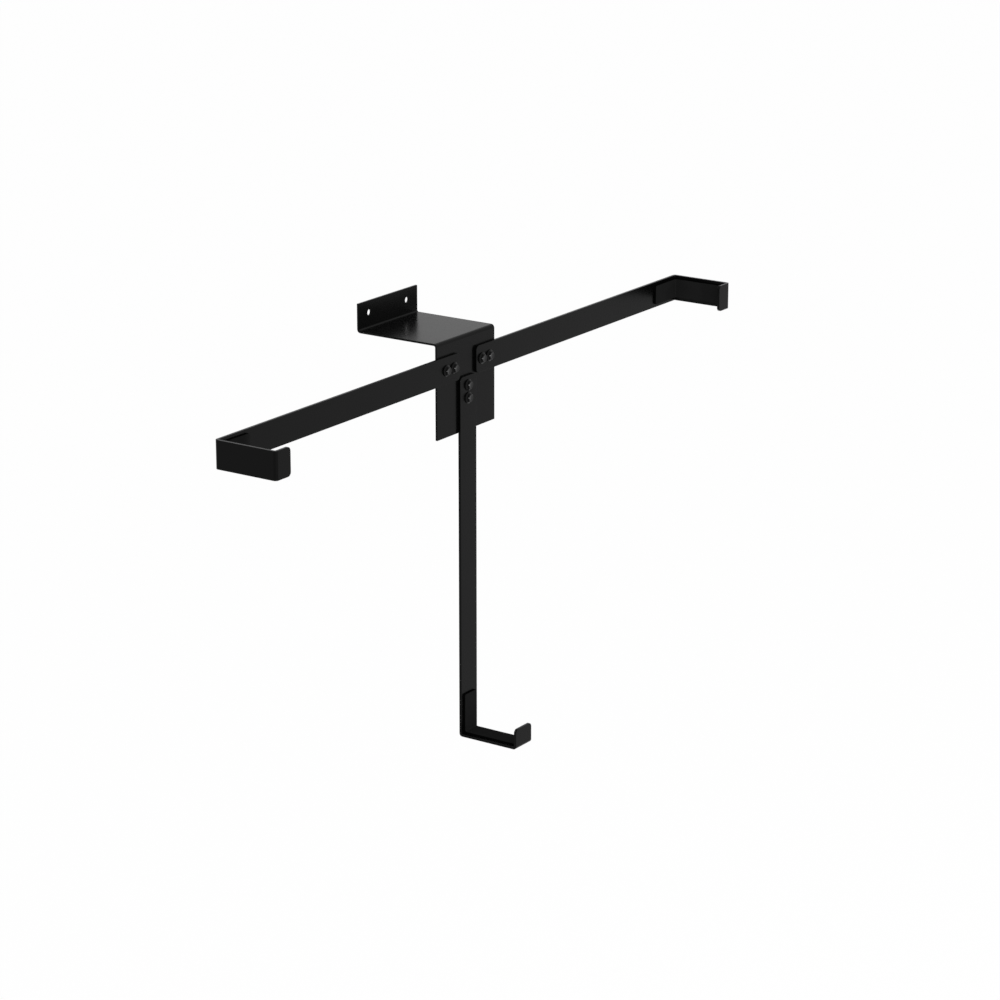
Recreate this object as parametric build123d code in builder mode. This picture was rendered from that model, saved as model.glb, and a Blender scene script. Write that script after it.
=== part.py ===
from build123d import *
import os

# Wall rack: a bent wall bracket carries three flat steel arms on the front of its hanging plate.
# Each arm ends in a padded hook, and the three hooks hold a round frame by its rim.
# The origin is midway between the two wall holes, on the wall. +X is to the right as seen from
# the room, +Y goes into the wall and +Z is up. All sizes are in millimetres.

# Wall bracket, bent from one sheet
sheet_t = 3.0
sheet_bend_r = 2.5  # inside radius of both bends
sheet_corner_r = 1.0
standoff = 140.0  # from the wall to the front of the hanging plate
flange_rise = 40.0  # top of the wall flange above the shelf
plate_side_margin = 18.5  # from a side arm's outer bolt to the edge of the plate
plate_tail = 49.0  # plate below the lower arm's last bolt
wall_hole_d = 9.0
wall_hole_pitch = 92.0
wall_hole_drop = 17.5  # below the top of the wall flange

# Flat bar of the arms
bar_w = 40.0
bar_t = 4.0
bar_bend_r = 1.0  # inside radius of the hook's bends
bar_corner_r = 6.0

# Arms and hooks
arm_drop = 41.8  # centre line of the side arms below the shelf
arm_end_gap = 0.5  # between a side arm's inner end and the line of the lower arm's edge
lower_arm_rise = 1.8  # top of the lower arm above the side arms' lower edges
ring_d = 1123.0  # clear width between the side pads
ring_lift = 3.8  # centre of a resting ring above the side arms' centre line
hook_gap = 93.0  # clear depth between an arm and its lip
lip_length = 31.0  # from the outside of the hook to the end of the lip

# Liner pads
pad_t = 3.5
pad_inset = 5.0  # from the edges of the bar
pad_on_arm = 61.0  # stretch of pad along the arm, from the inside of the hook
pad_bend_relief = 1.0  # kept between the pad and the hook's bends
pad_inner_r = 2.0
pad_corner_r = 3.0
pad_edge_r = 1.0

# Flange bolts and lock nuts
bolt_d = 8.0
bolt_hole_play = 1.0  # hole in arm and plate, wider than the bolt
bolt_end_margin = 14.0  # from an arm's inner end to its first bolt
bolt_proud = 0.4  # bolt tip beyond the nut
bolt_tip_chamfer = 0.8
bolt_flange_d = 17.0
bolt_flange_rim = 1.3  # straight rim of the flange
bolt_flange_slope = 1.7  # rise of the flange from its rim to the head's flats
bolt_flange_gap = 2.0  # between an arm's two flanges
head_af = 12.0
head_rise = 2.4  # front of the head above the flange's slope
head_bevel_h = 0.6
nut_af = 13.0
nut_hex_h = 6.4
nut_bevel_h = 1.2
nut_collar_d = 11.4
nut_collar_h = 1.6
nut_collar_r = 0.8
nut_play = 0.2  # bore of the nut, wider than the bolt

# Places that follow from the sizes above
shelf_z = wall_hole_drop - flange_rise
arm_z = shelf_z - arm_drop
bolt_pitch = bolt_flange_d + bolt_flange_gap
bolt_hole_d = bolt_d + bolt_hole_play
hex_sides = 6

# Each arm has a frame of its own on the front of the plate: x runs out along the arm, y goes
# towards the wall and z runs across the bar. All three start where the centre lines cross.
arm_centre = (0, -standoff, arm_z)
arm_frames = {
    "left": Plane(arm_centre, x_dir=(-1, 0, 0), z_dir=(0, 0, -1)),
    "right": Plane(arm_centre, x_dir=(1, 0, 0), z_dir=(0, 0, 1)),
    "lower": Plane(arm_centre, x_dir=(0, 0, -1), z_dir=(1, 0, 0)),
}

# Where each arm starts and where the outside of its hook lies, along its own x
side_start = bar_w / 2 + arm_end_gap
side_reach = ring_d / 2 + pad_t + bar_t
arm_starts = {"left": side_start, "right": side_start, "lower": bar_w / 2 - lower_arm_rise}
arm_reaches = {"left": side_reach, "right": side_reach, "lower": side_reach - ring_lift}


def bolt_places(side):
    """Distances of an arm's two bolts along the arm, the inner one first."""
    first = arm_starts[side] + bolt_end_margin
    return {"inner": first, "outer": first + bolt_pitch}


def hooked_bar(side):
    """Flat bar with its hook and lip, in the arm's own frame."""
    mid_x = arm_reaches[side] - bar_t / 2
    mid_y = -bar_t / 2
    lip_y = mid_y - bar_t - hook_gap
    with BuildPart() as bar:
        with BuildSketch(Plane.XY):
            with BuildLine():
                FilletPolyline(
                    (arm_starts[side], mid_y),
                    (mid_x, mid_y),
                    (mid_x, lip_y),
                    (arm_reaches[side] - lip_length, lip_y),
                    radius=bar_bend_r + bar_t / 2,
                )
            trace(line_width=bar_t)
        extrude(amount=bar_w / 2, both=True)
        end_corners = bar.edges().filter_by(Axis.Y).group_by(SortBy.LENGTH)[0]
        fillet(end_corners, radius=bar_corner_r)
        with BuildSketch(Plane.XZ):
            with Locations([(place, 0) for place in bolt_places(side).values()]):
                Circle(bolt_hole_d / 2)
        extrude(amount=bar_t, mode=Mode.SUBTRACT)
    return bar.part


def hook_pad(side):
    """Liner pad on the arm and along the inside of its hook, in the arm's own frame."""
    back_x = arm_reaches[side] - bar_t
    back_y = -bar_t
    front_x = back_x - pad_t
    front_y = back_y - pad_t
    arm_end_x = back_x - pad_on_arm
    bend_clear_r = bar_bend_r + pad_bend_relief
    lip_end_y = back_y - hook_gap + bend_clear_r
    with BuildPart() as pad:
        with BuildSketch(Plane.XY) as outline:
            with BuildLine():
                Polyline(
                    (arm_end_x, back_y),
                    (back_x, back_y),
                    (back_x, lip_end_y),
                    (front_x, lip_end_y),
                    (front_x, front_y),
                    (arm_end_x, front_y),
                    close=True,
                )
            make_face()
            fillet(outline.vertices().sort_by_distance((back_x, back_y))[0], radius=bend_clear_r)
            fillet(outline.vertices().sort_by_distance((front_x, front_y))[0], radius=pad_inner_r)
        extrude(amount=bar_w / 2 - pad_inset, both=True)
        arm_end_corners = pad.edges().filter_by(Axis.Y).group_by(Axis.X)[0]
        lip_end_corners = pad.edges().filter_by(Axis.X).group_by(Axis.Y)[0]
        fillet(arm_end_corners + lip_end_corners, radius=pad_corner_r)
        arm_face = pad.faces().filter_by(Axis.Y).sort_by(Axis.Y)[1]
        hook_face = pad.faces().filter_by(Axis.X).sort_by(Axis.X)[1]
        soft_edges = arm_face.edges().filter_by(Axis.X) + hook_face.edges().filter_by(Axis.Y)
        fillet(soft_edges, radius=pad_edge_r)
    return pad.part


def bevelled_hexagon(across_flats, low_y, high_y, low_bevel, high_bevel):
    """Hexagon about the y axis, with its corners cut by a cone at each end that has a bevel."""
    flat_r = across_flats / 2
    corner_r = across_flats / 3**0.5
    with BuildPart() as body:
        with BuildSketch(Plane.XZ.offset(-low_y)):
            RegularPolygon(flat_r, hex_sides, major_radius=False)
        extrude(amount=low_y - high_y)
        with BuildSketch(Plane.XY):
            with BuildLine():
                Polyline(
                    (0, low_y),
                    (flat_r, low_y),
                    (corner_r, low_y + low_bevel),
                    (corner_r, high_y - high_bevel),
                    (flat_r, high_y),
                    (0, high_y),
                    close=True,
                )
            make_face()
        revolve(axis=Axis.Y, mode=Mode.INTERSECT)
    return body.part


def flange_bolt():
    """Hex flange bolt, its axis on y, its flange on the front of the arm and its head towards the room."""
    rim_y = -bar_t - bolt_flange_rim
    slope_y = rim_y - bolt_flange_slope
    front_y = slope_y - head_rise
    tip_y = sheet_t + nut_hex_h + nut_collar_h + bolt_proud
    head = bevelled_hexagon(head_af, front_y, -bar_t, head_bevel_h, 0)
    with BuildPart() as bolt:
        add(head)
        with BuildSketch(Plane.XY):
            with BuildLine():
                Polyline(
                    (0, slope_y),
                    (head_af / 2, slope_y),
                    (bolt_flange_d / 2, rim_y),
                    (bolt_flange_d / 2, -bar_t),
                    (bolt_d / 2, -bar_t),
                    (bolt_d / 2, tip_y - bolt_tip_chamfer),
                    (bolt_d / 2 - bolt_tip_chamfer, tip_y),
                    (0, tip_y),
                    close=True,
                )
            make_face()
        revolve(axis=Axis.Y)
    return bolt.part


def lock_nut():
    """Hex lock nut with a round collar, standing on the back of the plate."""
    hex_top_y = sheet_t + nut_hex_h
    body = bevelled_hexagon(nut_af, sheet_t, hex_top_y, nut_bevel_h, nut_bevel_h)
    with BuildPart() as nut:
        add(body)
        with BuildSketch(Plane.XZ.offset(-hex_top_y)):
            Circle(nut_collar_d / 2)
        extrude(amount=-nut_collar_h)
        fillet(nut.faces().sort_by(Axis.Y)[-1].edges(), radius=nut_collar_r)
        with BuildSketch(Plane.XZ.offset(-sheet_t)):
            Circle((bolt_d + nut_play) / 2)
        extrude(amount=-nut_hex_h - nut_collar_h, mode=Mode.SUBTRACT)
    return nut.part


def finish(piece, node):
    """Name a finished piece and write it."""
    piece.label = node
    export_step(piece, f"parts/{node}.step")


os.makedirs("parts", exist_ok=True)

# Wall bracket: flange on the wall, shelf towards the room, plate hanging from the shelf's front
plate_w = 2 * (bolt_places("left")["outer"] + plate_side_margin)
plate_foot_z = arm_z - bolt_places("lower")["outer"] - plate_tail
bolt_centres = [
    frame.from_local_coords((place, 0, 0))
    for side, frame in arm_frames.items()
    for place in bolt_places(side).values()
]
with BuildPart() as wall_bracket:
    with BuildSketch(Plane.YZ):
        with BuildLine():
            FilletPolyline(
                (-sheet_t / 2, wall_hole_drop),
                (-sheet_t / 2, shelf_z - sheet_t / 2),
                (sheet_t / 2 - standoff, shelf_z - sheet_t / 2),
                (sheet_t / 2 - standoff, plate_foot_z),
                radius=sheet_bend_r + sheet_t / 2,
            )
        trace(line_width=sheet_t)
    extrude(amount=plate_w / 2, both=True)
    sheet_corners = wall_bracket.edges().filter_by(Axis.Y).group_by(SortBy.LENGTH)[0]
    fillet(sheet_corners, radius=sheet_corner_r)
    with BuildSketch(Plane.XZ):
        with GridLocations(wall_hole_pitch, 0, 2, 1):
            Circle(wall_hole_d / 2)
    extrude(amount=sheet_t, mode=Mode.SUBTRACT)
    with BuildSketch(Plane.XZ.offset(standoff)):
        with Locations([(centre.X, centre.Z) for centre in bolt_centres]):
            Circle(bolt_hole_d / 2)
    extrude(amount=-sheet_t, mode=Mode.SUBTRACT)
finish(wall_bracket.part, "wall_bracket")

# Arms, their pads and their fasteners, each set on its arm's frame
fasteners = {"bolt": flange_bolt(), "nut": lock_nut()}
for side, frame in arm_frames.items():
    with BuildPart(frame) as arm:
        add(hooked_bar(side))
    finish(arm.part, f"{side}_arm")

    with BuildPart(frame) as pad:
        add(hook_pad(side))
    finish(pad.part, f"{side}_pad")

    for place_name, place in bolt_places(side).items():
        bolt_centre = frame.from_local_coords((place, 0, 0))
        for kind, shape in fasteners.items():
            with BuildPart(Plane(bolt_centre)) as fastener:
                add(shape)
            finish(fastener.part, f"{side}_{place_name}_{kind}")

print(f"width {2 * side_reach:.1f}, depth {standoff + hook_gap + 2 * bar_t:.1f}")
print(f"height {wall_hole_drop - arm_z + arm_reaches['lower']:.1f}, plate {plate_w:.1f} wide")
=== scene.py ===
# %% [markdown]
# # A wall rack with three padded hooks
# The rack is a bent steel bracket with three flat bars bolted to its front. Each bar ends in a hook
# with a soft liner, and the three hooks hold a round frame by its rim. Everything is black, so the
# picture lives from edges, reflections and small differences between satin paint, foam and steel.
# The solid model is loaded first. It is the fixed frame that every finished piece is built around.

# %% Load the frame
import math

import bmesh
import bpy
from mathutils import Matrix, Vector


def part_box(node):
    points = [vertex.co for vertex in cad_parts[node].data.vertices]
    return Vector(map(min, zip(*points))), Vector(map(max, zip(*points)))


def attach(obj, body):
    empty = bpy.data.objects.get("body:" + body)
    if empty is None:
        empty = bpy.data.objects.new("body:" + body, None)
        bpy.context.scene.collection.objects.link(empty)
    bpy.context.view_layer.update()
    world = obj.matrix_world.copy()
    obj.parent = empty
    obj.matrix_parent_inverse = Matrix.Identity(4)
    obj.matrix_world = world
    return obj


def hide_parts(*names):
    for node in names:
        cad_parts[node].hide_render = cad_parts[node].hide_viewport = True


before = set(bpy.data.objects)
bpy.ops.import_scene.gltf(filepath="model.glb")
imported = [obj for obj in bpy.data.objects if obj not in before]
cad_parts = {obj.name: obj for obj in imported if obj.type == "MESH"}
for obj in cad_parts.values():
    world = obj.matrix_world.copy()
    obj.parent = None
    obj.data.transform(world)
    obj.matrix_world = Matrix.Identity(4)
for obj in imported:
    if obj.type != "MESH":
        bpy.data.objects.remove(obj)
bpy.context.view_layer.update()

print("solids in the frame:", len(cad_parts))

# %% [markdown]
# ## Places and sizes
# Places come from the solids' own boxes, so the finished pieces can't drift away from them. Only what
# a box doesn't tell is written as a number, in metres. The two thicknesses are needed by several
# pieces and stand here. Every other size stands where it is first used.

# %% Places and sizes from the solids
mm = 0.001
sheet_t, bar_t = 3 * mm, 4 * mm

into_wall = Vector((0, 1, 0))
out_along = {"left": Vector((-1, 0, 0)), "right": Vector((1, 0, 0)), "lower": Vector((0, 0, -1))}
sides = list(out_along)

bracket_low, bracket_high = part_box("wall_bracket")
plate_front_y = bracket_low.y
left_low, left_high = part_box("left_arm")
bar_w = left_high.z - left_low.z
arm_centre = Vector((0, plate_front_y, (left_low.z + left_high.z) / 2))


def middle(node):
    """Centre of a solid's box."""
    low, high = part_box(node)
    return (low + high) / 2


def span_along(node, direction):
    """Nearest and farthest distance of a solid from the arms' crossing, along a direction."""
    reach = [(corner - arm_centre).dot(direction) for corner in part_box(node)]
    return min(reach), max(reach)


bolt_names = [f"{side}_{place}" for side in sides for place in ("inner", "outer")]
bolt_middles = [middle(f"{name}_bolt") for name in bolt_names]
bolt_places = [Vector((spot.x, plate_front_y, spot.z)) for spot in bolt_middles]
reaches = [round(span_along(f"{side}_arm", out_along[side])[1] / mm) for side in sides]
print("bar", round(bar_w / mm, 2), "mm wide, arms reach", reaches, "mm")

# %% [markdown]
# ## Writing node trees as sums
# Node trees are easier to read as formulas. One small class wraps a socket: adding, subtracting or
# multiplying wires makes the Math node between them, and its method `node` makes any other kind of
# node. The same class serves the materials and the Geometry Nodes trees further down.

# %% Wires
class Wire:
    """One socket of a node tree. Without a socket it stands for the start of the tree."""

    def __init__(self, tree, socket=None):
        self.tree = tree
        self.socket = socket

    def node(self, kind, settings, inputs, output=0):
        """Add a node, set it up, then fill or link its sockets. Returns one of its outputs."""
        made = self.tree.nodes.new(kind)
        for name, value in settings.items():
            setattr(made, name, value)
        for name, value in inputs.items():
            if isinstance(value, Wire):
                self.tree.links.new(value.socket, made.inputs[name])
            else:
                made.inputs[name].default_value = value
        return Wire(self.tree, made.outputs[output] if made.outputs else None)

    def other(self, output):
        """Another output of the same node."""
        return Wire(self.tree, self.socket.node.outputs[output])

    def math(self, operation, *values):
        """A Math node on numbers."""
        return self.node("ShaderNodeMath", {"operation": operation}, dict(enumerate(values)))

    def vector(self, operation, *values):
        """A Vector Math node on vectors."""
        return self.node("ShaderNodeVectorMath", {"operation": operation}, dict(enumerate(values)))

    def scaled(self, factor):
        """This vector times a number."""
        return self.node("ShaderNodeVectorMath", {"operation": "SCALE"}, {0: self, "Scale": factor})

    def __add__(self, value):
        return self.math("ADD", self, value)

    def __sub__(self, value):
        return self.math("SUBTRACT", self, value)

    def __rsub__(self, value):
        return self.math("SUBTRACT", value, self)

    def __mul__(self, value):
        return self.math("MULTIPLY", self, value)

    __radd__ = __add__
    __rmul__ = __mul__


print("wires can be added, subtracted and multiplied")

# %% [markdown]
# Every finish here starts from the piece's own coordinates and ends in one Principled shader. The steps
# between are few: soft random patterns, marks that the mesh carries, bumps and a grey that runs between
# two shades. Each gets a short helper, so that a finish below reads as a list of what it does.

# %% Material helpers
def start_material(name):
    """An empty material and a wire to write its nodes from."""
    material = bpy.data.materials.new(name)
    material.use_nodes = True
    material.node_tree.nodes.clear()
    return material, Wire(material.node_tree)


def object_place(net):
    """Where a point lies in the piece's own space, in metres."""
    return net.node("ShaderNodeTexCoord", {}, {}, "Object")


def noise(place, per_metre, detail):
    """A soft random pattern of about 0 to 1, with so many bumps to a metre."""
    inputs = {"Vector": place, "Scale": per_metre, "Detail": detail}
    return place.node("ShaderNodeTexNoise", {}, inputs)


def marked(net, name):
    """A value that the mesh carries on its points."""
    return net.node("ShaderNodeAttribute", {"attribute_name": name}, {}, "Fac")


def bumps(height, depth, strength):
    """A normal that follows a pattern of heights."""
    inputs = {"Height": height, "Distance": depth, "Strength": strength}
    return height.node("ShaderNodeBump", {}, inputs)


def grey_between(mask, dark, light):
    """A grey that runs from dark to light with the mask, as a colour."""
    inputs = {"Factor": mask, "A": (dark, dark, dark, 1), "B": (light, light, light, 1)}
    return mask.node("ShaderNodeMix", {"data_type": "RGBA"}, inputs, "Result")


def shade(net, inputs):
    """Close a material with one Principled shader."""
    shader = net.node("ShaderNodeBsdfPrincipled", {}, inputs)
    net.node("ShaderNodeOutputMaterial", {}, {"Surface": shader})


print("material helpers ready")

# %% [markdown]
# ## Black powder coat
# The bracket and the bars are powder coated: a dry paint that is baked into a tough satin skin. It
# flows out with a very fine orange peel, about a millimetre from crest to crest, with a finer grain
# on top. Both are bumps in the normal, because modelling them would need millions of faces. A dark
# paint is mostly its reflection, so its roughness and the low index of refraction, which keeps the
# gloss weak, matter more than its colour.

# %% Powder coat material
powder_coat, net = start_material("powder_coat")
place = object_place(net)
peel = noise(place, per_metre=800, detail=1)
grain = noise(place, per_metre=3600, detail=2)
drift = noise(place, per_metre=14, detail=3)
shade(
    net,
    {
        "Base Color": grey_between(0.6 * drift + 0.4 * grain, dark=0.0008, light=0.0022),
        "Roughness": 0.20 + 0.05 * drift + 0.03 * grain,
        "IOR": 1.16,
        "Normal": bumps(0.8 * peel + 0.2 * grain, depth=0.02 * mm, strength=0.35),
    },
)
print("powder coat:", len(powder_coat.node_tree.nodes), "nodes")

# %% [markdown]
# ## Foam rubber liner
# The liners are strips of dense foam rubber. The moulded skin on the face is nearly closed and
# slightly lighter, while the cut edges show open cells and stay darker. The mesh carries that
# difference as an attribute named `cut`, and cells of about half a millimetre come from a Voronoi
# pattern in the object's own space, so the pattern is the same size on every pad.

# %% Liner material
liner_rubber, net = start_material("liner_rubber")
place = object_place(net)
cut = marked(net, "cut")
cells = net.node("ShaderNodeTexVoronoi", {}, {"Vector": place, "Scale": 1700}, "Distance")
bloom = noise(place, per_metre=60, detail=4)
skin = 0.55 + 0.25 * bloom + 0.35 * cells
shade(
    net,
    {
        "Base Color": grey_between(skin * (1 - cut), dark=0.0004, light=0.0118),
        "Roughness": 0.78 + 0.12 * cut + 0.06 * bloom,
        "Specular IOR Level": 0.0,
        "Normal": bumps(cells * (0.5 + 0.5 * cut), depth=0.06 * mm, strength=0.5),
    },
)
print("liner:", len(liner_rubber.node_tree.nodes), "nodes")

# %% [markdown]
# ## Black steel and nylon
# The bolts and nuts are steel with a thin black finish, as dark as the powder coat but smoother. The
# front face of each bolt head is painted lighter and uneven, a painted sheen that stands in for a
# brighter reflection there. The mesh marks that face with an attribute, which follows the head wherever
# it is turned. The bevel around it keeps its black and shows the lamp as a small glint.
# The nuts hold a ring of dark nylon that grips the thread.

# %% Fastener materials
fastener_black, net = start_material("fastener_black")
place = object_place(net)
painted_sheen = marked(net, "painted_sheen")
mottle = noise(place, per_metre=420, detail=3)
scuff = noise(place, per_metre=2600, detail=2)
# The marked front face of each bolt head is painted lighter: a painted sheen that stands in for a
# brighter reflection, on top of a random mottle.
mottle_and_painted_sheen = 0.08 * mottle + painted_sheen * (0.5 + 0.5 * mottle)
shade(
    net,
    {
        "Base Color": grey_between(mottle_and_painted_sheen, dark=0.001, light=0.022),
        "Roughness": 0.10 + 0.06 * mottle + 0.03 * scuff,
        "IOR": 1.2,
        "Normal": bumps(scuff, depth=0.01 * mm, strength=0.2),
    },
)

lock_nylon, net = start_material("lock_nylon")
haze = noise(object_place(net), per_metre=900, detail=2)
shade(
    net,
    {
        "Base Color": grey_between(haze, dark=0.04, light=0.07),
        "Roughness": 0.42 + 0.12 * haze,
        "IOR": 1.4,
    },
)
print("fastener black:", len(fastener_black.node_tree.nodes), "nodes")
print("nylon:", len(lock_nylon.node_tree.nodes), "nodes")

# %% [markdown]
# ## Flat blanks
# A shop cuts such parts flat and then bends them, and that is also the easiest way to model them:
# the outline with its rounded corners and holes is drawn in the flat, filled and given its thickness.
# In the blank, x runs along the strip, y is its thickness and z goes across.

# %% Blank maker
corner_steps, hole_steps = 8, 48


def arc_points(centre, radius, first, last, steps):
    """Points on an arc, in degrees, both ends included."""
    angles = [math.radians(first + (last - first) * i / steps) for i in range(steps + 1)]
    return [(centre[0] + radius * math.cos(a), centre[1] + radius * math.sin(a)) for a in angles]


def rounded_outline(length, width, radius):
    """Outline of a strip with four rounded corners, as x and z."""
    far, edge = length - radius, width / 2 - radius
    corners = [((far, edge), 0), ((radius, edge), 90), ((radius, -edge), 180), ((far, -edge), 270)]
    outline = []
    for centre, first in corners:
        outline += arc_points(centre, radius, first, first + 90, corner_steps)
    return outline


def flat_blank(outline, holes, thickness):
    """A flat plate with round holes of (centre, diameter), closed, with sharp edges."""
    loops = [outline]
    for centre, diameter in holes:
        loops.append(arc_points(centre, diameter / 2, 0, 360, hole_steps)[:-1])
    blank = bmesh.new()
    rims = []
    for loop in loops:
        corners = [blank.verts.new((x, -thickness / 2, z)) for x, z in loop]
        rims += [blank.edges.new(pair) for pair in zip(corners, corners[1:] + corners[:1])]
    bmesh.ops.triangle_fill(blank, use_beauty=True, edges=rims)
    back = bmesh.ops.extrude_face_region(blank, geom=blank.faces[:])["geom"]
    moved = [item for item in back if isinstance(item, bmesh.types.BMVert)]
    bmesh.ops.translate(blank, verts=moved, vec=(0, thickness, 0))
    bmesh.ops.recalc_face_normals(blank, faces=blank.faces[:])
    return blank


print("a strip's outline has", 4 * (corner_steps + 1), "points, a hole", hole_steps)

# %% [markdown]
# No real edge is perfectly sharp, and a small radius is what catches the light along it, so the rim of
# a blank is rounded. Where a bend will come, the blank gets a row of cuts across it, because a face can
# only bend along its edges.

# %% Edges and cuts
rim_angle = math.radians(60)
strip_x, strip_z = Vector((1, 0, 0)), Vector((0, 0, 1))


def ease_edges(blank, radius, segments, front_only=False):
    """Round the edges where a face meets the rim."""
    sharp = [e for e in blank.edges if e.calc_face_angle(0) > rim_angle]
    if front_only:
        sharp = [e for e in sharp if e.verts[0].co.y < 0]
    bmesh.ops.bevel(blank, geom=sharp, offset=radius, segments=segments, profile=0.5, affect="EDGES")


def cut_across(blank, places, axis):
    """Cut a blank at places along one of its axes, so that it can bend there."""
    for distance in places:
        whole = blank.verts[:] + blank.edges[:] + blank.faces[:]
        bmesh.ops.bisect_plane(blank, geom=whole, plane_co=axis * distance, plane_no=axis)


print("edges are rounded where they turn by more than", round(math.degrees(rim_angle)), "degrees")

# %% [markdown]
# ## Trees and finished pieces
# A Geometry Nodes tree is a recipe with named inputs. It is put on a working object, its inputs are set
# by their identifiers, it is evaluated once, and the result is kept as a plain mesh. Weighted normals
# come last: large flat faces then stay flat in the light, and only the small edge radii turn.

# %% Tree helpers
def start_tree(name, inputs):
    """A Geometry Nodes tree with named inputs. Returns the tree and a wire from its input node."""
    tree = bpy.data.node_groups.new(name, "GeometryNodeTree")
    tree.interface.new_socket("Geometry", in_out="INPUT", socket_type="NodeSocketGeometry")
    for socket_name, kind in inputs.items():
        tree.interface.new_socket(socket_name, in_out="INPUT", socket_type=kind)
    tree.interface.new_socket("Geometry", in_out="OUTPUT", socket_type="NodeSocketGeometry")
    return tree, Wire(tree).node("NodeGroupInput", {}, {}, "Geometry")


def end_tree(start, geometry):
    """Close a tree: plain mesh, one material."""
    whole = start.node("GeometryNodeRealizeInstances", {}, {"Geometry": geometry})
    paint = {"Geometry": whole, "Material": start.other("Material")}
    painted = start.node("GeometryNodeSetMaterial", {}, paint)
    start.node("NodeGroupOutput", {}, {"Geometry": painted})


def run_tree(worked, tree, values):
    """Run a tree on an object and replace its mesh by the plain result."""
    modifier = worked.modifiers.new(tree.name, "NODES")
    modifier.node_group = tree
    for item in tree.interface.items_tree:
        if item.in_out == "INPUT" and item.name in values:
            modifier[item.identifier] = values[item.name]
    worked.modifiers.new("flat faces stay flat", "WEIGHTED_NORMAL").keep_sharp = True
    graph = bpy.context.evaluated_depsgraph_get()
    done = worked.evaluated_get(graph)
    made = bpy.data.meshes.new_from_object(done, preserve_all_data_layers=True, depsgraph=graph)
    worked.modifiers.clear()
    worked.data = made


print("tree helpers ready")

# %% [markdown]
# A finished piece rides on the rack's one body, takes its finish from the material that its tree sets
# and stands for the solids that it replaces. Its place is in its mesh, so its object stays at the
# origin.

# %% Piece helpers
def work_object(name, data):
    """A new object in the scene."""
    worked = bpy.data.objects.new(name, data)
    bpy.context.scene.collection.objects.link(worked)
    return worked


def mesh_from(name, body):
    """A smooth-shaded mesh from an edit mesh. Edges that are marked sharp stay sharp."""
    for face in body.faces:
        face.smooth = True
    mesh = bpy.data.meshes.new(name)
    body.to_mesh(mesh)
    body.free()
    return mesh


def finish_piece(piece, nodes):
    """Tie a piece to the frame and say how large it is."""
    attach(piece, "root")
    if nodes:
        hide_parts(*nodes)
    print(piece.name, len(piece.data.polygons), "faces")


print("piece helpers ready")

# %% [markdown]
# ## The press brake
# Bending is a Geometry Nodes tree. A path of straight runs gets its corners filleted, and each
# point of the blank is then put on the path: its x is a length along the path, its y goes along the
# path's normal and its z stays across. A curve with a bevel profile could sweep a bar too, but it
# has no holes and no rounded ends, and the blank has both.

# %% Bending tree
press_brake, start = start_tree(
    "press_brake",
    {
        "Path": "NodeSocketObject",
        "Bend Radius": "NodeSocketFloat",
        "Bend Steps": "NodeSocketInt",
        "Across": "NodeSocketVector",
        "Material": "NodeSocketMaterial",
    },
)
path = start.node("GeometryNodeObjectInfo", {}, {"Object": start.other("Path")}, "Geometry")
rounded = start.node(
    "GeometryNodeFilletCurve",
    {"mode": "POLY"},
    {"Curve": path, "Radius": start.other("Bend Radius"), "Count": start.other("Bend Steps")},
)
flat_place = start.node("GeometryNodeInputPosition", {}, {})
along = start.node("ShaderNodeSeparateXYZ", {}, {"Vector": flat_place}, "X")
at_length = {"Curves": rounded, "Length": along}
on_path = start.node("GeometryNodeSampleCurve", {"mode": "LENGTH"}, at_length, "Position")
across = start.other("Across")
normal = start.vector("CROSS_PRODUCT", across, on_path.other("Tangent"))
offset = start.vector("ADD", normal.scaled(along.other("Y")), across.scaled(along.other("Z")))
bent_place = start.vector("ADD", on_path, offset)
bent = start.node("GeometryNodeSetPosition", {}, {"Geometry": start, "Position": bent_place})
end_tree(start, bent)
print("bending tree:", len(press_brake.nodes), "nodes")

# %% [markdown]
# A blank has to be as long as its bent path, and its cuts have to lie where the bends will be. Both
# follow from the path's corners: a fillet takes a set-back off each of its two runs and puts an arc in
# their place.

# %% Lengths and bends of a path
bend_steps = 12


def path_lengths(corners, radius):
    """Length of a filleted path and where its bends begin and end."""
    runs = [b - a for a, b in zip(corners, corners[1:])]
    turns = [a.angle(b) for a, b in zip(runs, runs[1:])]
    set_backs = [0] + [radius * math.tan(turn / 2) for turn in turns] + [0]
    length, bends = 0, []
    for i, run in enumerate(runs):
        length += run.length - set_backs[i] - set_backs[i + 1]
        if i < len(turns):
            bends.append((length, length + radius * turns[i]))
            length = bends[-1][1]
    return length, bends


def bend_cuts(bends):
    """Places of the cuts across a blank, over all its bends."""
    return [a + (b - a) * i / bend_steps for a, b in bends for i in range(bend_steps + 1)]


print("each bend has", bend_steps, "steps")

# %% [markdown]
# Now a blank can be bent: its path is drawn as a curve, the tree runs, and the curve is removed.
# Filling, rounding and cutting leave a blank's points and faces in an order that changes from run to
# run. So they are first sorted along a slanted line, where no two of them lie at the same place.

# %% Bending a blank
slanted = Vector((1, 0.37, 0.0173))


def put_in_order(blank):
    """Sort a blank's points, edges and faces by their place."""
    blank.verts.sort(key=lambda v: v.co.dot(slanted))
    blank.edges.sort(key=lambda e: (e.verts[0].co + e.verts[1].co).dot(slanted))
    blank.faces.sort(key=lambda f: f.calc_center_median().dot(slanted))


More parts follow.
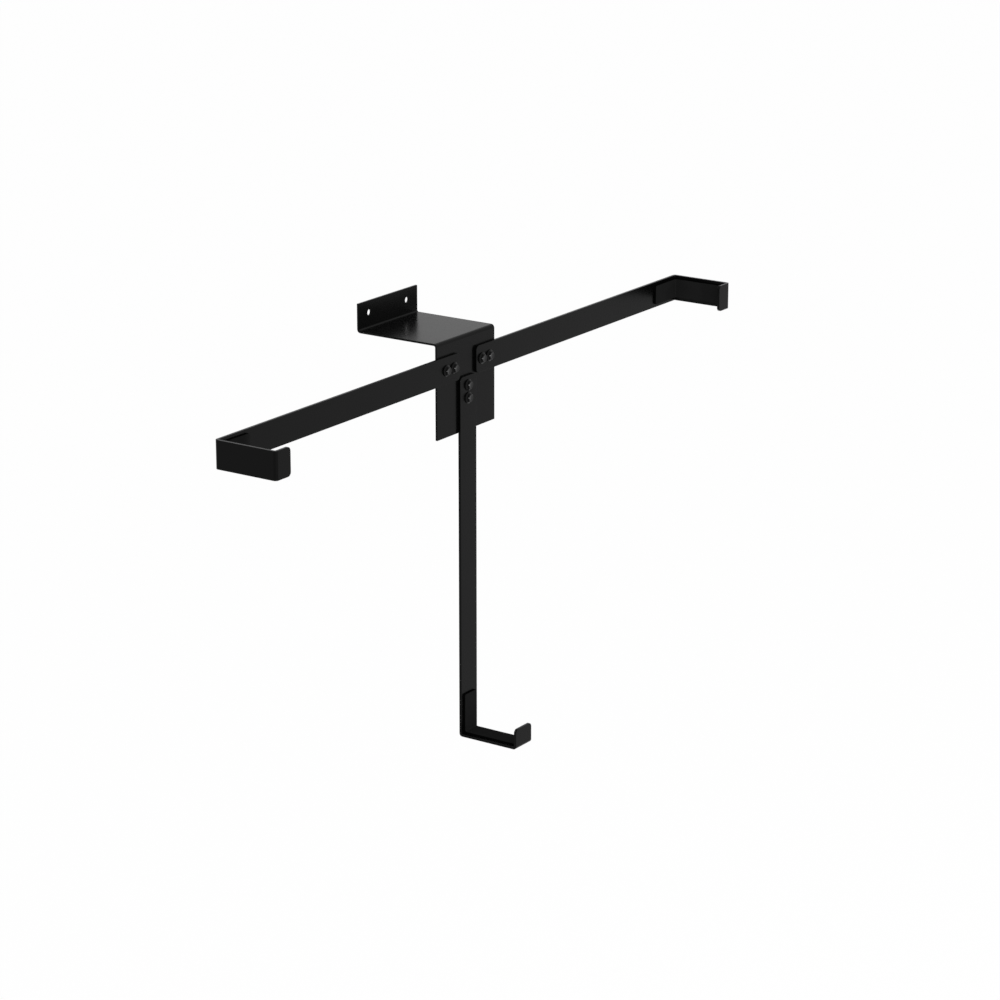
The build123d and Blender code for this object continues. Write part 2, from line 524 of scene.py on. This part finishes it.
def bend_piece(name, blank, corners, radius, across_axis, material, node):
    """Bend a blank along a path and make it a piece that stands for its solid."""
    line = bpy.data.curves.new(name + "_path", "CURVE")
    line.dimensions = "3D"
    spline = line.splines.new("POLY")
    spline.points.add(len(corners) - 1)
    for point, corner in zip(spline.points, corners):
        point.co = (*corner, 1)
    route = work_object(name + "_path", line)
    put_in_order(blank)
    piece = work_object(name, mesh_from(name, blank))
    values = {
        "Path": route,
        "Bend Radius": radius,
        "Bend Steps": bend_steps,
        "Across": across_axis,
        "Material": material,
    }
    run_tree(piece, press_brake, values)
    bpy.data.objects.remove(route)
    finish_piece(piece, [node])
    return piece


print("press brake ready")

# %% [markdown]
# ## The wall bracket
# One sheet, bent twice: the flange lies on the wall, the shelf comes out to the room and the plate
# hangs from the shelf's front. In the flat it is one long strip with two wall holes near its top and
# six bolt holes in the plate. The path runs along the middle of the sheet's thickness. The frame's
# origin lies between the wall holes, so their distance from the strip's top is the top's own height.

# %% Wall bracket path
sheet_bend_r, flange_rise = 2.5 * mm, 40 * mm
half_sheet = sheet_t / 2
shelf_mid_z = bracket_high.z - flange_rise - half_sheet
plate_mid_y = plate_front_y + half_sheet
bracket_path = [
    Vector((0, -half_sheet, bracket_high.z)),
    Vector((0, -half_sheet, shelf_mid_z)),
    Vector((0, plate_mid_y, shelf_mid_z)),
    Vector((0, plate_mid_y, bracket_low.z)),
]
bracket_bend_r = sheet_bend_r + half_sheet
bracket_length, bracket_bends = path_lengths(bracket_path, bracket_bend_r)
print("the flat sheet is", round(bracket_length / mm, 1), "mm long")

# %% Wall bracket
sheet_corner_r, coat_edge_r, coat_edge_steps = 1 * mm, 0.35 * mm, 3
wall_hole_d, wall_hole_pitch, bolt_hole_d = 9 * mm, 92 * mm, 9 * mm
bracket_w = bracket_high.x - bracket_low.x
bracket_outline = rounded_outline(bracket_length, bracket_w, sheet_corner_r)
bracket_holes = []
for hole_z in (-wall_hole_pitch / 2, wall_hole_pitch / 2):
    bracket_holes.append(((bracket_high.z, hole_z), wall_hole_d))
for spot in bolt_places:
    bracket_holes.append(((bracket_length - (spot.z - bracket_low.z), spot.x), bolt_hole_d))
sheet = flat_blank(bracket_outline, bracket_holes, sheet_t)
ease_edges(sheet, coat_edge_r, coat_edge_steps)
cut_across(sheet, bend_cuts(bracket_bends), strip_x)
bend_piece(
    "bracket_sheet",
    sheet,
    bracket_path,
    bracket_bend_r,
    out_along["right"],
    powder_coat,
    "wall_bracket",
)

# %% [markdown]
# ## The three arms
# All arms are the same flat bar: bolted at the inner end, bent forward into a hook and back again
# into a lip that keeps the rim from sliding off. Only their directions and reaches differ, so one
# loop makes all three from the places of their solids.

# %% Arms
bar_bend_r, bar_corner_r, lip_length = 1 * mm, 6 * mm, 31 * mm
half_bar = bar_t / 2
width_along = {side: out_along[side].cross(into_wall) for side in sides}


def arm_point(side, out, forward):
    """A point in an arm's own plane, from the arms' crossing on the front of the plate."""
    return arm_centre + out_along[side] * out - into_wall * forward


for side in sides:
    start_out, reach = span_along(f"{side}_arm", out_along[side])
    depth = plate_front_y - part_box(f"{side}_arm")[0].y
    corners = [
        arm_point(side, start_out, half_bar),
        arm_point(side, reach - half_bar, half_bar),
        arm_point(side, reach - half_bar, depth - half_bar),
        arm_point(side, reach - lip_length, depth - half_bar),
    ]
    bend_r = bar_bend_r + half_bar
    length, bends = path_lengths(corners, bend_r)
    holes = []
    for name, spot in zip(bolt_names, bolt_places):
        if name.startswith(side):
            hole_x = (spot - arm_centre).dot(out_along[side]) - start_out
            holes.append(((hole_x, 0), bolt_hole_d))
    bar = flat_blank(rounded_outline(length, bar_w, bar_corner_r), holes, bar_t)
    ease_edges(bar, coat_edge_r, coat_edge_steps)
    cut_across(bar, bend_cuts(bends), strip_x)
    bend_piece(
        f"{side}_bar",
        bar,
        corners,
        bend_r,
        width_along[side],
        powder_coat,
        f"{side}_arm",
    )

# %% [markdown]
# ## The liner pads
# Each pad is a strip glued to the arm and along the inside of the hook. It bends with the same tree
# as the steel. A cloth simulation would suit a stuffed cushion, but dense foam on steel keeps its
# shape, so its small faults are modelled directly: its face crowns a little, its edges are rounder than
# a bar's, and its sides wander by about a tenth of a millimetre. The cut sides are marked for the
# material. The strip gets more cuts than its bends need, to have points for the crown and the wander.

# %% Foam strips
pad_crown, pad_wander, wander_length = 0.25 * mm, 0.12 * mm, 7 * mm


def soften(strip, width):
    """Mark a strip's cut sides, lower its face towards the edges and let its sides wander."""
    strip.normal_update()
    cut_layer = strip.verts.layers.float.new("cut")
    for v in strip.verts:
        v[cut_layer] = 1 - abs(v.normal.y)
        share = 2 * v.co.z / width
        if v.co.y < 0:
            v.co.y += pad_crown * share**4 * (1 - v[cut_layer])
        v.co.z -= pad_wander * (1 + math.sin(v.co.x / wander_length)) * share * abs(share)


print("pads crown by", pad_crown / mm, "mm")

# %% Liner pads
pad_t, pad_inner_r, pad_corner_r = 3.5 * mm, 2 * mm, 3 * mm
pad_front_r, pad_front_steps = 1 * mm, 4
pad_back_r, pad_back_steps = 0.2 * mm, 2
parts_along, parts_across = 36, 8
half_pad = pad_t / 2
for side in sides:
    pad_start, pad_reach = span_along(f"{side}_pad", out_along[side])
    pad_low, pad_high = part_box(f"{side}_pad")
    pad_w = abs((pad_high - pad_low).dot(width_along[side]))
    corners = [
        arm_point(side, pad_start, bar_t + half_pad),
        arm_point(side, pad_reach - half_pad, bar_t + half_pad),
        arm_point(side, pad_reach - half_pad, plate_front_y - pad_low.y),
    ]
    bend_r = pad_inner_r + half_pad
    length, bends = path_lengths(corners, bend_r)
    strip = flat_blank(rounded_outline(length, pad_w, pad_corner_r), [], pad_t)
    ease_edges(strip, pad_front_r, pad_front_steps, front_only=True)
    ease_edges(strip, pad_back_r, pad_back_steps)
    even_cuts = [length * i / parts_along for i in range(1, parts_along)]
    cut_across(strip, bend_cuts(bends) + even_cuts, strip_x)
    cut_across(strip, [pad_w * (i / parts_across - 0.5) for i in range(1, parts_across)], strip_z)
    soften(strip, pad_w)
    pad = bend_piece(
        f"{side}_liner",
        strip,
        corners,
        bend_r,
        width_along[side],
        liner_rubber,
        f"{side}_pad",
    )

# %% [markdown]
# ## Turned parts
# Bolts and nuts are round parts with a hexagon in them. A Screw modifier could spin their round
# profiles, but not the hexagon or a thread that tapers off. A ring of points whose radius may depend on
# the angle gives all of them: a constant radius is a circle, and the distance to a hexagon's flats is
# a hexagon. Stacking such rings from one end to the other closes the body. Where a hexagon ends, a cone
# cuts its corners, as on every bolt and nut, here 40 degrees steep, so a helper makes those rings.

# %% Hexagon rings
cone_slope, cone_steps = math.tan(math.radians(40)), 4
sixth = math.pi / 3


def hexagon(across_flats, limit=math.inf):
    """Radius of a hexagon at an angle, cut off at a limit as by a cone."""
    return lambda angle: min(across_flats / 2 / math.cos(angle % sixth - sixth / 2), limit)


def cone_cut(across_flats, face_r, end_y, inward):
    """Rings from the round end face of a hexagon to its full corners. Inward is 1 or -1 along y."""
    growth = across_flats / math.sqrt(3) - face_r
    rings = []
    for i in range(cone_steps + 1):
        share = i / cone_steps
        ring_y = end_y + inward * cone_slope * growth * share
        rings.append((ring_y, hexagon(across_flats, face_r + growth * share)))
    return rings


print("a cone cut has", cone_steps + 1, "rings")

# %% [markdown]
# The stacker joins each ring to the next with quads. A radius of zero is a single point, which closes
# an end. A body with a bore has no ends: its last ring joins its first.

# %% Ring stacker
ring_steps = 48
crease_angle = math.radians(25)


def stacked(name, rings, closed):
    """A body from rings of (y, radius) about the y axis. The radius may depend on the angle."""
    body = bmesh.new()
    angles = [2 * math.pi * i / ring_steps for i in range(ring_steps)]
    loops = []
    for y, radius in rings:
        if radius == 0:
            loops.append([body.verts.new((0, y, 0))] * ring_steps)
            continue
        radii = [radius(a) if callable(radius) else radius for a in angles]
        points = [(r * math.cos(a), y, r * math.sin(a)) for a, r in zip(angles, radii)]
        loops.append([body.verts.new(point) for point in points])
    for low, high in zip(loops, loops[1:] + loops[:1] if closed else loops[1:]):
        for i in range(ring_steps):
            j = (i + 1) % ring_steps
            corners = dict.fromkeys([low[i], low[j], high[j], high[i]])
            body.faces.new(list(corners))
    bmesh.ops.recalc_face_normals(body, faces=body.faces[:])
    for edge in body.edges:
        edge.smooth = edge.calc_face_angle(0) < crease_angle
    return work_object(name, mesh_from(name, body))


print("rings have", ring_steps, "points")

# %% [markdown]
# ## The bolt
# A hex flange bolt: the flange spreads the load, so no washer is needed. The head is pressed cold
# from wire, which leaves a shallow dish in its front, and the shank has a real thread. The thread is a
# wave on the radius that moves once round for each pitch. All heights are measured from the front of
# the plate, and the head is towards the room, on negative y. The bolt is as long as the nut is high and
# a little more, so the nut's heights stand here too.

# %% Bolt sizes and thread
flange_r, flange_rim, flange_slope, rim_r = 8.5 * mm, 1.3 * mm, 1.7 * mm, 0.2 * mm
head_af, head_face_r, head_rise = 12 * mm, 4.8 * mm, 2.4 * mm
dish_r, dish_floor_r, dish_depth = 4.3 * mm, 3.0 * mm, 0.5 * mm
shank_r, tip_chamfer, bolt_proud = 4 * mm, 0.8 * mm, 0.4 * mm
thread_pitch, thread_depth, thread_steepness, run_in = 1.25 * mm, 0.6 * mm, 1.25, 0.5 * mm
nut_hex_h, nut_collar_h = 6.4 * mm, 1.6 * mm
tip_y = sheet_t + nut_hex_h + nut_collar_h + bolt_proud


def thread(y):
    """Radius of the thread at a height: crests at the shank's radius, lower on the tip's chamfer."""
    crest = shank_r - max(0, y - (tip_y - tip_chamfer))
    root = min(crest, shank_r - thread_depth)

    def radius(angle):
        wave = abs(2 * ((y / thread_pitch - angle / (2 * math.pi)) % 1) - 1)
        return root + (crest - root) * min(1, thread_steepness * wave)

    return radius


print("the thread ends", round(tip_y / mm, 1), "mm behind the plate's front")

# %% [markdown]
# The rings run from the dish in the head to the tip. The dish's centre, its floor, its rim and the
# first ring of the bevel bound the front face, so their points carry the mark for its painted sheen.

# %% Bolt
under_y = -bar_t
rim_y = under_y - flange_rim
slope_y = rim_y - flange_slope
front_y = slope_y - head_rise
dish_y = front_y + dish_depth
thread_steps = 60

bolt_rings = [(dish_y, 0), (dish_y, dish_floor_r), (front_y, dish_r)]
bolt_rings += cone_cut(head_af, head_face_r, front_y, 1)
bolt_rings += [
    (slope_y, hexagon(head_af)),
    (rim_y, flange_r - rim_r),
    (rim_y + rim_r, flange_r),
    (under_y - rim_r, flange_r),
    (under_y, flange_r - rim_r),
    (under_y, shank_r + rim_r),
    (under_y + rim_r, shank_r),
    (-run_in, shank_r),
]
thread_ys = [tip_y * i / thread_steps for i in range(thread_steps + 1)]
bolt_rings += [(y, thread(y)) for y in thread_ys]
bolt_rings.append((tip_y, 0))
bolt_master = stacked("bolt_master", bolt_rings, closed=False)

front_points = 1 + 3 * ring_steps
# The front points carry the mark for the painted sheen on the head's face.
painted_sheen_marks = bolt_master.data.attributes.new("painted_sheen", "FLOAT", "POINT").data
for painted_sheen_mark in painted_sheen_marks[:front_points]:
    painted_sheen_mark.value = 1
print("bolt:", len(bolt_master.data.polygons), "faces")

# %% [markdown]
# ## Nut and lock ring
# The nut is a hexagon with a round collar that is rolled over a nylon ring. It sits behind the plate
# and shows only from the back. Its rings run from the bore round the outside, over the collar and down
# into the ring's pocket.

# %% Nut
nut_af, nut_face_r = 13 * mm, 6.2 * mm
bore_r, bore_bevel, collar_r, collar_root = 4.1 * mm, 0.4 * mm, 5.7 * mm, 0.3 * mm
roll_r, roll_angles = 0.8 * mm, (0, 0.4, 0.8, 1.2, math.pi / 2)
pocket_r, pocket_rise = 4.7 * mm, 0.2 * mm
hex_top_y = sheet_t + nut_hex_h
collar_top_y = hex_top_y + nut_collar_h
roll_y, roll_centre_r = collar_top_y - roll_r, collar_r - roll_r

nut_rings = [(sheet_t + bore_bevel, bore_r), (sheet_t, bore_r + bore_bevel)]
nut_rings += cone_cut(nut_af, nut_face_r, sheet_t, 1)
nut_rings += cone_cut(nut_af, nut_face_r, hex_top_y, -1)[::-1]
nut_rings += [(hex_top_y, collar_r + collar_root), (hex_top_y + collar_root, collar_r)]
for angle in roll_angles:
    nut_rings.append((roll_y + roll_r * math.sin(angle), roll_centre_r + roll_r * math.cos(angle)))
nut_rings += [
    (collar_top_y, pocket_r),
    (hex_top_y + pocket_rise, pocket_r),
    (hex_top_y + pocket_rise, bore_r),
]
nut_master = stacked("nut_master", nut_rings, closed=True)
print("nut:", len(nut_master.data.polygons), "faces")

# %% Lock ring
ring_gap, ring_grip, ring_play = 0.25 * mm, 0.05 * mm, 0.03 * mm
ring_crown, ring_shoulder = 0.1 * mm, 0.2 * mm
ring_low_y, ring_top_y = hex_top_y + ring_gap, collar_top_y - ring_gap
lock_rings = [
    (ring_low_y, bore_r - ring_grip),
    (ring_low_y, pocket_r - ring_play),
    (ring_top_y, pocket_r - ring_play),
    (ring_top_y + ring_crown, pocket_r - ring_shoulder),
    (ring_top_y, bore_r - ring_grip),
]
lock_ring_master = stacked("lock_ring_master", lock_rings, closed=True)
print("lock ring:", len(lock_ring_master.data.polygons), "faces")

# %% [markdown]
# ## Setting the fasteners
# The same three shapes stand at six places, so a Geometry Nodes tree puts them there: one point for
# each bolt, an instance on each point and a small random turn about the bolt's axis, because a
# spanner never stops twice at the same angle. Instances are then made real, as one mesh for each kind.

# %% Fastening tree
fasten, start = start_tree(
    "fasten",
    {
        "Fastener": "NodeSocketObject",
        "Least Turn": "NodeSocketFloat",
        "Most Turn": "NodeSocketFloat",
        "Seed": "NodeSocketInt",
        "Material": "NodeSocketMaterial",
    },
)
shape = start.node("GeometryNodeObjectInfo", {}, {"Object": start.other("Fastener")}, "Geometry")
turn = start.node(
    "FunctionNodeRandomValue",
    {"data_type": "FLOAT"},
    {"Min": start.other("Least Turn"), "Max": start.other("Most Turn"), "Seed": start.other("Seed")},
    "Value",
)
axis_turn = start.node("ShaderNodeCombineXYZ", {}, {"Y": turn})
rotation = start.node("FunctionNodeEulerToRotation", {}, {"Euler": axis_turn})
placing = {"Points": start, "Instance": shape, "Rotation": rotation}
set_out = start.node("GeometryNodeInstanceOnPoints", {}, placing)
end_tree(start, set_out)
print("fastening tree:", len(fasten.nodes), "nodes")

# %% [markdown]
# The bolts' heads are turned almost alike, as in the picture. The nuts behind the plate differ more,
# and a turn of a plain ring would not show. Turns are in radians.

# %% Fasteners
turn_seed = 7
bolt_turns, nut_turns, no_turns = (0.14, 0.24), (0.0, 0.3), (0.0, 0.0)


def set_fasteners(name, master, turns, material, nodes):
    """Copies of a master at all bolt places, as one piece that stands for their solids."""
    points = bpy.data.meshes.new(name)
    points.from_pydata(bolt_places, [], [])
    piece = work_object(name, points)
    values = {
        "Fastener": master,
        "Least Turn": turns[0],
        "Most Turn": turns[1],
        "Seed": turn_seed,
        "Material": material,
    }
    run_tree(piece, fasten, values)
    bpy.data.objects.remove(master)
    finish_piece(piece, nodes)


bolt_nodes = [f"{name}_bolt" for name in bolt_names]
nut_nodes = [f"{name}_nut" for name in bolt_names]
set_fasteners("bolts", bolt_master, bolt_turns, fastener_black, bolt_nodes)
set_fasteners("nuts", nut_master, nut_turns, fastener_black, nut_nodes)
set_fasteners("lock_rings", lock_ring_master, no_turns, lock_nylon, [])

# %% [markdown]
# ## Camera
# The picture was taken with a long lens from the left, a little above the rack. The angle, distance
# and focal length come from the outline of the rack in the picture, so they are given as numbers.

# %% Camera
azimuth, elevation, distance = math.radians(-55.63), math.radians(17.02), 4.860
lens_mm, sensor_mm = 118.86, 36
aim = Vector((0.0862, -0.140, -0.2918))
level = math.cos(elevation)
back = Vector((math.sin(azimuth) * level, -math.cos(azimuth) * level, math.sin(elevation)))
camera_data = bpy.data.cameras.new("camera")
camera_data.lens = lens_mm
camera_data.sensor_width = sensor_mm
camera = work_object("camera", camera_data)
camera.location = aim + back * distance
camera.rotation_mode = "QUATERNION"
camera.rotation_quaternion = (-back).to_track_quat("-Z", "Y")
bpy.context.scene.camera = camera
print("camera at", [round(v, 3) for v in camera.location])

# %% [markdown]
# ## Floor
# The rack hangs on a wall at about eye level, so the floor is well below it. Floor and surroundings
# are white where the camera or a reflection sees them: black satin steel shows nothing but what it
# reflects. The floor is still a painted surface for the light itself, so it takes the shadow.

# %% Floor
floor_half, floor_z = 60.0, -1.5
floor_grey, white = (0.97, 0.97, 0.97, 1), (1, 1, 1, 1)
floor_glow = 0.85


def seen_directly(net):
    """1 for camera, glossy and transmission rays, 0 for diffuse light."""
    rays = net.node("ShaderNodeLightPath", {}, {}, "Is Camera Ray")
    seen = rays.math("MAXIMUM", rays, rays.other("Is Glossy Ray"))
    return seen.math("MAXIMUM", seen, rays.other("Is Transmission Ray"))


floor_paint, net = start_material("floor_paint")
diffuse = net.node("ShaderNodeBsdfDiffuse", {}, {"Color": floor_grey})
glow = net.node("ShaderNodeEmission", {}, {"Color": white, "Strength": 1.0})
glow_share = floor_glow * seen_directly(net)
mixed = net.node("ShaderNodeMixShader", {}, {0: glow_share, 1: diffuse, 2: glow})
net.node("ShaderNodeOutputMaterial", {}, {"Surface": mixed})

floor_corners = [(-floor_half, -floor_half), (floor_half, -floor_half)]
floor_corners += [(floor_half, floor_half), (-floor_half, floor_half)]
floor_mesh = bpy.data.meshes.new("floor")
floor_mesh.from_pydata([(x, y, floor_z) for x, y in floor_corners], [], [(0, 1, 2, 3)])
floor_mesh.materials.append(floor_paint)
floor = work_object("floor", floor_mesh)
print("floor at", floor_z, "m")

# %% [markdown]
# ## Surroundings and lamp
# The light comes evenly from all sides, as in a white tent. One softbox at the front left, level with
# the rack, adds a little direction and puts the glint on the bevels of the bolts.

# %% Surroundings and lamp
sky_light = 0.96
world = bpy.data.worlds.new("surroundings")
bpy.context.scene.world = world
world.use_nodes = True
world.node_tree.nodes.clear()
net = Wire(world.node_tree)
sky_strength = sky_light + (1 - sky_light) * seen_directly(net)
sky = net.node("ShaderNodeBackground", {}, {"Color": white, "Strength": sky_strength})
net.node("ShaderNodeOutputWorld", {}, {"Surface": sky})

lamp_place = Vector((-1.85, -4.5, 0.0))
lamp_size, lamp_watts = 0.5, 60
lamp_data = bpy.data.lights.new("key_softbox", "AREA")
lamp_data.size = lamp_size
lamp_data.energy = lamp_watts
lamp = work_object("key_softbox", lamp_data)
lamp.location = lamp_place
lamp.rotation_mode = "QUATERNION"
lamp.rotation_quaternion = (aim - lamp_place).to_track_quat("-Z", "Y")
bpy.context.scene.view_settings.view_transform = "Standard"
print("lamp", round((aim - lamp_place).length, 2), "m from the rack")
